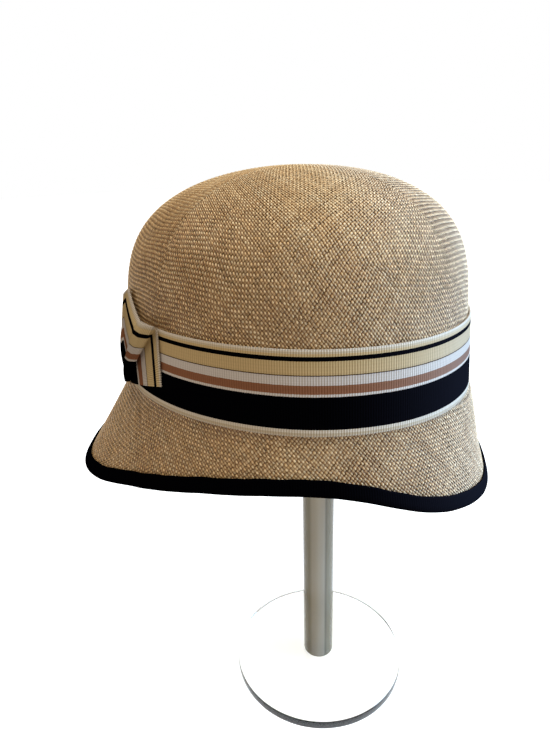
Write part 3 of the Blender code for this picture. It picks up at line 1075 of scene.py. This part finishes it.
def bow_row(fold, share, layer, wave):
    """Points at one share of the width from rim to heart, on the ribbon's back (0) or its front (1)."""
    rim, heart, lip, tuck = fold[:, :3], fold[:, 3:6], fold[:, 6], fold[:, 7]
    near_rim = math.exp(-share / LIP_DEPTH)
    along, up, rise = (rim + (heart - rim) * share).T
    up = up + lip * near_rim
    rise = rise - tuck * near_rim
    towards = heart[:, :2] - rim[:, :2]
    towards /= np.linalg.norm(towards, axis=1, keepdims=True)
    loop = LOOP * (0.5 + 0.5 * wave) * math.exp(-share / EDGE_SOFTNESS)
    height = BOW_HEART_HEIGHT + RIBBON_WIDTH * up - loop * towards[:, 1]
    belly = LEAST_BELLY + BELLY * np.clip(1 - along / BELLY_REACH, 0, 1)
    proud = PLEAT_RISE * rise + belly * math.sin(math.pi * share**BELLY_SKEW)
    proud = proud + (BOW_THICKNESS + BOW_RELIEF * wave) * layer
    middle = math.radians(BOW_AZIMUTH)
    radius = oval_radius(middle, HEAD_LENGTH / 2, HEAD_WIDTH / 2)
    azimuth = middle + (RIBBON_WIDTH * along - loop * towards[:, 0]) / radius
    return cloth_point(azimuth, height, BOW_CLEAR + proud)


def end_quads(columns, count):
    """Quads that close the cut ends between the bow's front rows and its back rows."""
    quads = []
    for column in (0, columns - 1):
        front = np.arange(count) * columns + column
        back = (2 * count - 1 - np.arange(count)) * columns + column
        end = np.stack([front[:-1], front[1:], back[1:], back[:-1]], -1)
        quads.append(end if column == 0 else end[:, ::-1])
    return np.concatenate(quads)


def build_bow(material):
    path, run = bow_path()
    ribs = int(run[-1] / RIB)
    columns = ribs * RIB_COLUMNS + 1
    steps = np.linspace(0, run[-1], columns)
    fold = np.stack([np.interp(steps, run, path[:, k]) for k in range(FOLD_VALUES)], -1)
    wave = rib_wave(columns, RIB_COLUMNS)
    rows = [bow_row(fold, share, 1, wave) for share in BOW_SHARES]
    rows += [bow_row(fold, share, 0, wave) for share in BOW_SHARES[::-1]]
    points = np.stack(rows + rows[:1])
    both = np.concatenate([BOW_SHARES, BOW_SHARES[::-1], BOW_SHARES[:1]])
    across = np.repeat(np.clip(both, None, HEART_SHARE)[:, None], columns, 1)
    quads = np.concatenate([grid_quads(len(points), columns), end_quads(columns, len(BOW_SHARES))])[:, ::-1]
    along, place = grid_places(len(points), columns, RIB_COLUMNS)
    uv = np.stack([along / ribs, place], -1)
    values = [("across", across), ("along", along)]
    points, uv = points.reshape(-1, 3), uv.reshape(-1, 2)
    piece = make_mesh("pleated_bow", points, quads, material, values, uv)
    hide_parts("bow_ribbon")


# Stand

ROUND_COLUMNS = 128
HUB = 0.0001
EDGE_POINTS = 5
PLATE_EDGE = 0.001


def build_turned(name, node, outline, material):
    """Round piece turned about the post's axis from a closed outline of (radius, height)."""
    azimuth = np.arange(ROUND_COLUMNS) / ROUND_COLUMNS * TURN + math.radians(STRIPS_AZIMUTH)
    sine, cosine = np.sin(azimuth), np.cos(azimuth)
    rings = [np.stack([r * sine, -r * cosine, np.full(ROUND_COLUMNS, z)], -1) for r, z in outline]
    points = np.stack(rings)
    quads = grid_quads(len(points), ROUND_COLUMNS, closed=True)[:, ::-1]
    around, place = grid_places(len(points), ROUND_COLUMNS, ROUND_COLUMNS)
    uv = np.stack([around, place], -1).reshape(-1, 2)
    piece = make_mesh(name, points.reshape(-1, 3), quads, material, [("across", around)], uv)
    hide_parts(node)


def plate_outline(radius, low, high, edge):
    turn = np.linspace(0, np.pi / 2, EDGE_POINTS)
    lower = [(radius - edge + edge * np.sin(a), low + edge - edge * np.cos(a)) for a in turn]
    upper = [(radius - edge + edge * np.cos(a), high - edge + edge * np.sin(a)) for a in turn]
    return [(HUB, low), (radius / 2, low)] + lower + upper + [(radius / 2, high), (HUB, high)]


def build_stand(plate, rod):
    pieces = (
        ("foot_plate", "stand_foot", plate),
        ("clear_post", "stand_post", rod),
        ("rest_plate", "stand_rest", plate),
    )
    for name, node, material in pieces:
        low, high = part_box(node)
        outline = plate_outline(high[0], low[2], high[2], PLATE_EDGE)
        build_turned(name, node, outline, material)


# Studio

FLOOR_SHADES = [(0.3, (0.86, 0.86, 0.86)), (0.7, (0.9, 0.9, 0.9))]
FLOOR_GLOW = 0.94
FLOOR_SIDE = 12
FLOOR_DROP = 0.0002
ROOM_COLOUR = (1.0, 0.86, 0.70, 1)
ROOM_STRENGTH = 0.45
PAPER_COLOUR = (1, 1, 1, 1)
LIT_POINT = (0, 0.02, 0.25)
LIGHT_SIDE = 1.0
LIGHTS = (
    # name, place, power in watts, colour
    ("window", (0.79, -0.84, 0.62), 30.5, (0.45, 0.71, 1.0)),
    ("overhead", (0.1, -0.1, 1.3), 9, (1.0, 0.95, 0.88)),
)
CAMERA_PLACE = (-0.2003, -0.2065, 0.3208)
CAMERA_TURN = -39.31
CAMERA_DIP = 20.7
CAMERA_ROLL = -1.67
CAMERA_LENS, CAMERA_SENSOR = 27.06, 36
CAMERA_NEAREST = 0.01


def build_light(name, place, power, colour):
    light = bpy.data.lights.new(name, "AREA")
    light.size = LIGHT_SIDE
    light.energy = power
    light.color = colour
    obj = bpy.data.objects.new(name, light)
    obj.location = place
    obj.rotation_euler = (Vector(LIT_POINT) - Vector(place)).to_track_quat("-Z", "Y").to_euler()
    bpy.context.scene.collection.objects.link(obj)


def build_floor():
    nodes = Nodes("pale_floor")
    material = nodes.surface({
        "Base Color": nodes.ramp(nodes.noise(scale=9.0, detail=4.0), FLOOR_SHADES),
        "Roughness": 0.6,
        "Emission Color": PAPER_COLOUR,
        "Emission Strength": FLOOR_GLOW,
    })
    bpy.ops.mesh.primitive_plane_add(size=FLOOR_SIDE, location=(0, 0, -FLOOR_DROP))
    floor = bpy.context.object
    floor.name = "floor"
    floor.data.materials.append(material)
    floor.visible_diffuse = False


def build_room():
    """Warm light from all round, behind which the camera sees white paper."""
    world = bpy.data.worlds.new("studio")
    bpy.context.scene.world = world
    world.use_nodes = True
    tree = world.node_tree
    room = tree.nodes["Background"]
    room.inputs["Color"].default_value = ROOM_COLOUR
    room.inputs["Strength"].default_value = ROOM_STRENGTH
    paper = tree.nodes.new("ShaderNodeBackground")
    paper.inputs["Color"].default_value = PAPER_COLOUR
    path = tree.nodes.new("ShaderNodeLightPath")
    mix = tree.nodes.new("ShaderNodeMixShader")
    tree.links.new(path.outputs["Is Camera Ray"], mix.inputs[0])
    tree.links.new(room.outputs[0], mix.inputs[1])
    tree.links.new(paper.outputs[0], mix.inputs[2])
    tree.links.new(mix.outputs[0], tree.nodes["World Output"].inputs["Surface"])


def build_camera():
    camera = bpy.data.cameras.new("camera")
    camera.sensor_width = CAMERA_SENSOR
    camera.lens = CAMERA_LENS
    camera.clip_start = CAMERA_NEAREST
    obj = bpy.data.objects.new("camera", camera)
    turn = Matrix.Rotation(math.radians(CAMERA_TURN), 4, "Z")
    tilt = Matrix.Rotation(math.radians(90 - CAMERA_DIP), 4, "X")
    roll = Matrix.Rotation(math.radians(CAMERA_ROLL), 4, "Z")
    obj.matrix_world = Matrix.Translation(CAMERA_PLACE) @ turn @ tilt @ roll
    bpy.context.scene.collection.objects.link(obj)
    bpy.context.scene.camera = obj


def main():
    build_weave(strand_material())
    build_lining(lining_material())
    build_band(ribbon_material("ribbed_stripes", STRIPES, rib=0.5, groove_shade=0.74))
    build_bow(ribbon_material("bow_stripes", BOW_STRIPES, rib=0.7, groove_shade=0.5))
    build_binding(ribbon_material("ribbed_black", BINDING_STRIPES, rib=0.7, groove_shade=0.5))
    build_stand(plate_material(), post_material())
    build_floor()
    build_room()
    for light in LIGHTS:
        build_light(*light)
    build_camera()
    scene = bpy.context.scene
    scene.view_settings.view_transform = "Standard"


main()
